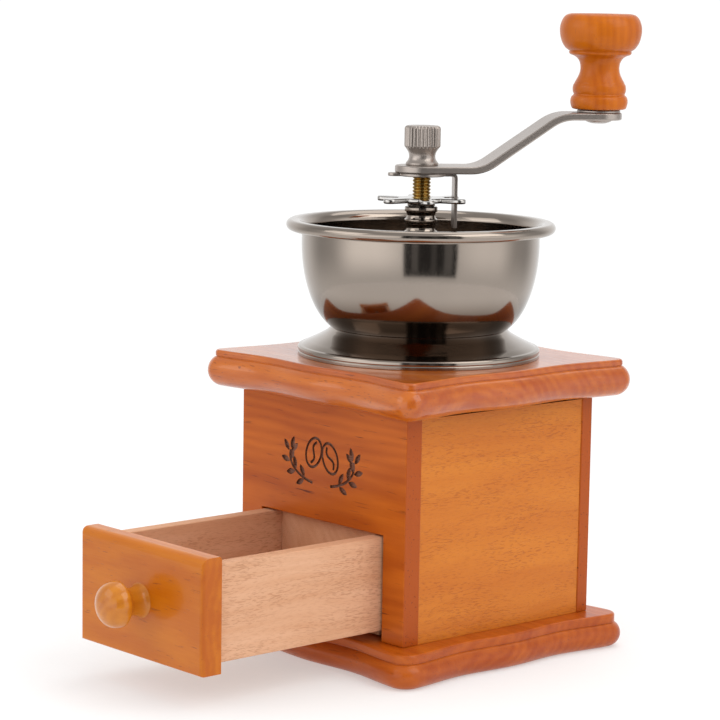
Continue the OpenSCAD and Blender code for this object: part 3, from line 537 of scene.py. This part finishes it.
def plate_outline(half, corner_r, inset, per_side=56, per_corner=10):
    """A plate's outline: each side waves in and out between round corners."""
    reach, r, straight = half - inset, corner_r - inset, half - corner_r
    quarter = []
    for i in range(per_side):
        u = 2 * i / per_side - 1
        dip = EDGE_WAVE * (1 - math.cos(TAU * u)) / 2 + EDGE_SAG * (1 - u * u)
        quarter.append(Vector((reach - dip, straight * u, 0)))
    quarter += [Vector((x, y, 0)) for x, y in arc(straight, straight, r, 0, 90, per_corner)[:-1]]
    return [Matrix.Rotation(TAU * q / 4, 3, "Z") @ p for q in range(4) for p in quarter]


def moulded_plate(node, finish, nose_r, lip_in, corner_r):
    """A plate with a round nose, a fine groove above it, and a thinner lip with a rounded edge."""
    low, high = span(node)
    t = high.z - low.z
    stop = math.degrees(math.acos(1 - lip_in / nose_r))
    nose = [(nose_r - x, y) for x, y in arc(0, nose_r, nose_r, -90, stop, 22)]
    shelf = nose[-1][1]
    groove = [(lip_in + 0.30, shelf + 0.10), (lip_in + 0.32, shelf + 0.30), (lip_in + 0.05, shelf + 0.50)]
    lip_r = min(1.0, (t - shelf) * 0.45)
    lip = [(lip_in + lip_r + 0.05 - x, y) for x, y in arc(0, t - lip_r, lip_r, 0, 90, 8)]
    profile = [(nose_r + 0.6, 0), *nose, *groove, *lip]
    rings = [[(p + Vector((0, 0, low.z + z))) * MM for p in plate_outline(high.x, corner_r, inset)]
             for inset, z in profile]
    bm = loft(rings)
    bm.verts.ensure_lookup_table()
    count = len(rings[0])
    cap(bm, range(count - 1, -1, -1))
    cap(bm, range(count * (len(rings) - 1), count * len(rings)))
    piece(bm, node, finish, crease=40)


def front_panel():
    """The front board, with the cut faces of its ornament scorched."""
    low, high = span("front_panel")
    opening_top = span("drawer_front")[1].z
    ornament_half_w, ornament_rise, ornament_depth = 28, 42, 0.9
    margin, skin, edge_depth = 2, 0.02, 1.5

    def is_board_edge(edge):
        """True for the board's own edges, and false for the fine edges of its engraving."""
        middle = (edge.verts[0].co + edge.verts[1].co) / 2 / MM
        level = low.z + ornament_rise < middle.z < high.z - 2 * margin
        near = abs(middle.x) < ornament_half_w and middle.y < low.y + edge_depth
        return not (level and near)

    def is_engraved(face):
        """True for faces sunk into the front, above the drawer and inside the board's outline."""
        middle = face.calc_center_median() / MM
        sunk = low.y + skin < middle.y < low.y + ornament_depth
        level = opening_top + 2 * margin < middle.z < high.z - margin
        return sunk and level and abs(middle.x) < high.x - margin

    bm = ease_edges(cad_copy("front_panel"), 0.35, only=is_board_edge)
    for face in bm.faces:
        if is_engraved(face):
            face.material_index = 1
    board = piece(bm, "front_panel")
    board.data.materials.append(burnt_wood("burnt_wood"))


def wooden_body():
    # The base plate takes the darker copy of the plate lacquer, with its shade painted in
    moulded_plate("base_plate", "base_lacquer_painted_shade", nose_r=4.6, lip_in=2.2, corner_r=8)
    moulded_plate("top_plate", "plate_lacquer", nose_r=5.7, lip_in=2.7, corner_r=6.3)
    front_panel()
    eased_piece("rear_panel", 0.4)
    eased_piece("side_panel_left", 0.3)
    eased_piece("side_panel_right", 0.3)


# ---- Hopper ----

SHEET_T = 1.1
THROAT_R = 20.0
HOPPER_TURNS = 192


def hopper_bowl():
    """A round bowl with a straight upper wall, a rolled rim and an eased throat."""
    low, high = span("hopper_bowl")
    rim_r, floor_z, rim_z = high.x, low.z, high.z
    wall_r, bead_r, corner_r, flare_r = rim_r - 5.5, 1.9, 0.7, 3.5
    curve_rise, curve_h, curve_w = 30.0, 32.0, 16.1
    steps = 40

    def wall(rise, inner):
        drop = (curve_rise - rise) / (curve_h - inner)
        return wall_r - curve_w + (curve_w - inner) * math.sqrt(1 - drop * drop)

    lip_r, lip_z = rim_r - bead_r, rim_z - bead_r
    profile = [(wall(curve_rise * i / steps, 0), floor_z + curve_rise * i / steps) for i in range(steps + 1)]
    profile += arc(wall_r + corner_r, lip_z - bead_r - corner_r, corner_r, 180, 90, 6)
    profile += arc(lip_r, lip_z, bead_r, -90, 84, 24)
    profile += arc(wall_r - SHEET_T + flare_r, rim_z - flare_r, flare_r, 90, 180, 14)
    for i in range(steps + 1):
        rise = curve_rise - (curve_rise - SHEET_T) * i / steps
        profile.append((wall(rise, SHEET_T), floor_z + rise))
    profile += [(THROAT_R + 0.6, floor_z + SHEET_T), (THROAT_R, floor_z + SHEET_T - 0.5), (THROAT_R, floor_z)]
    bm = lathe(eased(profile, 0.3, closed=True), HOPPER_TURNS, closed=True)
    piece(bm, "hopper_bowl", crease=45)


def hopper_flange():
    """Flange with a beaded edge, a sloping shoulder and a plain neck, folded down inside the throat."""
    low, high = span("hopper_flange")
    deck, top, r = low.z, high.z, high.x
    neck_r, bead_r = 30.9, 0.95
    outer = [(r, deck), (r, deck + 1.1), (r - 0.25, deck + 1.35), (r - 0.05, deck + 1.65),
             (r - 0.05, deck + 2.3)]
    outer += arc(r - 1.0, deck + 2.3, bead_r, 0, 66, 6)
    slope = [(8.6, 4.3), (6.7, 5.2), (4.2, 6.5), (2.0, 7.8), (0.7, 8.9)]
    shoulder = spline([(r - 1.4, deck + 3.3), *((neck_r + out, deck + up) for out, up in slope),
                       (neck_r, top)], 6)
    inner = [(THROAT_R, top), (THROAT_R, deck), (THROAT_R + SHEET_T, deck),
             (THROAT_R + SHEET_T, top - SHEET_T), (neck_r - SHEET_T, top - SHEET_T),
             (neck_r + 1.5, deck + 6.7), (r - 1.5, deck + 1.9), (r - SHEET_T, deck + 1.2),
             (r - SHEET_T, deck)]
    bm = lathe(eased([*outer, *shoulder, *inner], 0.2, closed=True), HOPPER_TURNS, closed=True)
    piece(bm, "hopper_flange", crease=45)


def hopper():
    hopper_bowl()
    hopper_flange()
    eased_piece("bearing_bridge", 0.5)
    for node in ("bridge_screws", "bridge_nuts", "outer_burr", "inner_burr"):
        eased_piece(node, 0.15)


# ---- Spindle, adjuster and crank ----


def spindle():
    """The spindle with a real helical thread between the collar and the bracket."""
    low, high = span("spindle")
    shaft_r, end_r, thread_r, root_r, pitch = 4.0, 3.0, 3.2, 2.65, 1.2
    thread_low, thread_high = span("adjusting_collar")[1].z - 2, span("lock_bracket")[1].z - 1.2
    step_z = span("burr_washer")[1].z
    per_pitch, flank_slope, crest_share = 10, 2.6, 0.3

    def thread(r, z, angle):
        if not thread_low < z < thread_high:
            return r
        phase = ((z - thread_low) / pitch - angle / TAU) % 1
        depth = min(1, max(0, abs(phase - 0.5) * flank_slope - crest_share))
        return thread_r - (thread_r - root_r) * depth

    steps = int((thread_high - thread_low) / pitch * per_pitch)
    turns = [(root_r, thread_low + (thread_high - thread_low) * i / steps) for i in range(steps + 1)]
    tip_r, tip_ease = 2.5, 0.4
    profile = [(0, low.z), (end_r - 0.5, low.z), (end_r, low.z + 0.5), (end_r, step_z), (shaft_r, step_z),
               (shaft_r, thread_low - 0.3), (shaft_r - 0.3, thread_low), *turns, (tip_r, thread_high),
               (tip_r, high.z - tip_ease), (tip_r - tip_ease, high.z), (0, high.z)]
    piece(lathe(profile, 72, radius=thread), "spindle", crease=50)


def adjusting_collar():
    """Turned collar: crisp rings with hollow waists between them."""
    low, high = span("adjusting_collar")
    r, waist, bore = high.x, 5.0, 4.08
    rings, ring_h = 6, 1.9
    gap = (high.z - low.z - ring_h) / rings
    profile = [(bore, low.z)]
    for k in range(rings + 1):
        z = low.z + k * gap
        profile += eased([(r - 0.5, z), (r, z + 0.2), (r, z + ring_h - 0.2), (r - 0.5, z + ring_h)], 0.3)
        if k < rings:
            mid = z + (ring_h + gap) / 2
            half = (gap - ring_h) / 2
            profile += [(r - 0.5 - (r - 0.5 - waist) * math.sin(math.pi * i / 8), mid - half + half * i / 4)
                        for i in range(1, 8)]
    profile += [(bore, high.z)]
    piece(lathe(profile, 96, closed=True), "adjusting_collar", crease=45)


def cap_nut():
    """Cap nut: a waisted foot and a grip with round ribs and a domed top."""
    low, high = span("cap_nut")
    z, top = low.z, high.z
    base_r, waist_r, grip_r = 5.7, 4.6, high.x
    ribs, rib_depth, points_per_rib = 28, 0.42, 12
    dome_w, dome_h = 1.3, 1.15
    grip_low, grip_high = z + 6.5, top - dome_w
    foot = [(2.6, z), (base_r, z), (base_r, z + 0.9)]
    waist = spline([(base_r - 0.15, z + 1.0), (waist_r + 0.25, z + 2.0), (waist_r, z + 3.2),
                    (waist_r + 0.3, z + 4.5), (base_r - 0.2, z + 5.5)], 6)
    grip = [(grip_r - 0.35, grip_low - 0.3), (grip_r, grip_low + 0.1)]
    grip += [(grip_r, grip_low + (grip_high - grip_low) * i / 8) for i in range(1, 9)]
    dome = [(grip_r - dome_w + dome_w * math.cos(a), grip_high + dome_h * math.sin(a))
            for a in (TAU / 4 * i / 8 for i in range(1, 9))]
    crown = spline([(grip_r - dome_w, top - 0.15), (grip_r - 2 * dome_w, top - 0.28), (2.0, top - 0.05),
                    (0.6, top), (0, top)], 5)

    def rib(r, height, angle):
        if height < grip_low - 0.2:
            return r
        fade = min(1, max(0, (r - grip_r + dome_w) / 0.9))
        return r - rib_depth * fade * (1 - abs(math.sin(ribs * angle / 2)))

    profile = [*foot, *waist, *grip, *dome, *crown[1:]]
    bm = lathe([(0, z), *eased(profile, 0.25)], ribs * points_per_rib, radius=rib)
    piece(bm, "cap_nut", crease=50)


def crank():
    spindle()
    adjusting_collar()
    cap_nut()
    eased_piece("adjusting_wheel", 0.55, segments=4)
    eased_piece("lock_bracket", 0.25)
    eased_piece("crank_arm", 0.95, segments=5)
    for node in ("knob_washer", "knob_pin", "burr_nut", "thrust_washer", "burr_washer"):
        eased_piece(node, 0.2)


# ---- Turned knobs ----


def moved(bm, matrix):
    bmesh.ops.transform(bm, matrix=matrix, verts=bm.verts)
    return bm


def crank_knob():
    """The crank's knob: a bulb on a waisted neck with two turned rings."""
    low, high = span("crank_knob")
    r, h = (high.x - low.x) / 2, high.z - low.z
    centre = (low + high) / 2
    bore, recess_r, recess = 3.08, 5.8, 4.0
    foot = spline([(0.60, 0.0), (0.66, 0.012), (0.695, 0.055), (0.70, 0.095), (0.675, 0.130),
                   (0.63, 0.148)], 5)
    ring = spline([(0.622, 0.160), (0.645, 0.185), (0.652, 0.215), (0.640, 0.250), (0.61, 0.272)], 5)
    waist = spline([(0.605, 0.282), (0.560, 0.315), (0.500, 0.37), (0.475, 0.43), (0.495, 0.49),
                    (0.560, 0.535), (0.65, 0.560), (0.72, 0.570)], 6)
    band = spline([(0.735, 0.574), (0.757, 0.585), (0.762, 0.597), (0.752, 0.608)], 4)
    bulb = spline([(0.768, 0.614), (0.85, 0.640), (0.93, 0.690), (0.98, 0.755), (1.0, 0.825), (0.985, 0.885),
                   (0.93, 0.945), (0.84, 0.985), (0.72, 1.0)], 6)
    outline = [(x * r, z * h) for x, z in (*foot, *ring, *waist, *band, *bulb)]
    profile = [(bore, 0), *outline, (recess_r, h), (recess_r, h - recess), (bore, h - recess)]
    bm = lathe(eased(profile, 0.3, closed=True, limit=32), 128, closed=True)
    piece(moved(bm, Matrix.Translation(Vector((centre.x, centre.y, low.z)) * MM)), "crank_knob", crease=50)


def drawer_knob():
    """The drawer's knob: a mushroom head on a flared neck."""
    low, high = span("drawer_knob")
    r, length = (high.x - low.x) / 2, high.y - low.y
    centre = (low + high) / 2
    neck = spline([(0.76, 0.0), (0.70, 0.04), (0.63, 0.14), (0.60, 0.26), (0.64, 0.38), (0.76, 0.47),
                   (0.90, 0.52), (0.965, 0.542)], 6)
    head = spline([(0.978, 0.553), (1.0, 0.58), (1.0, 0.64), (0.96, 0.74), (0.84, 0.85), (0.64, 0.93),
                   (0.4, 0.98), (0.2, 0.996), (0, 1.0)], 6)
    profile = [(x * r, z * length) for x, z in (*neck, *head)]
    bm = lathe([(0, 0), *eased(profile, 0.3, limit=32)], 128)
    out = Matrix.Translation(Vector((centre.x, high.y, centre.z)) * MM) @ Matrix.Rotation(TAU / 4, 4, "X")
    piece(moved(bm, out), "drawer_knob", crease=50)


# ---- Drawer ----


def drawer():
    eased_piece("drawer_front", 0.7, segments=4)
    for node in ("drawer_side_left", "drawer_side_right", "drawer_back"):
        eased_piece(node, 0.4)
    drawer_knob()


# ---- Frame's own nodes and floor ----


def paint_frame():
    """Every CAD node takes the finish of its slot."""
    for name, obj in frame["nodes"].items():
        obj.data.materials.clear()
        obj.data.materials.append(FINISH[NODE_SLOT[name]])


FLOOR_RADIUS = 330


def add_floor():
    bm = lathe([(0, 0), (FLOOR_RADIUS / 2, 0), (FLOOR_RADIUS, 0)], 96)
    bmesh.ops.recalc_face_normals(bm, faces=bm.faces)
    mesh = bpy.data.meshes.new("floor")
    bm.to_mesh(mesh)
    bm.free()
    mesh.materials.append(floor_paper("floor_paper"))
    floor = bpy.data.objects.new("floor", mesh)
    bpy.context.scene.collection.objects.link(floor)


add_camera()
add_world()
for name, values in SOFTBOXES.items():
    add_softbox(name, *values)
add_floor()
paint_frame()
wooden_body()
hopper()
crank()
crank_knob()
drawer()
bpy.context.scene.view_settings.view_transform = "Standard"
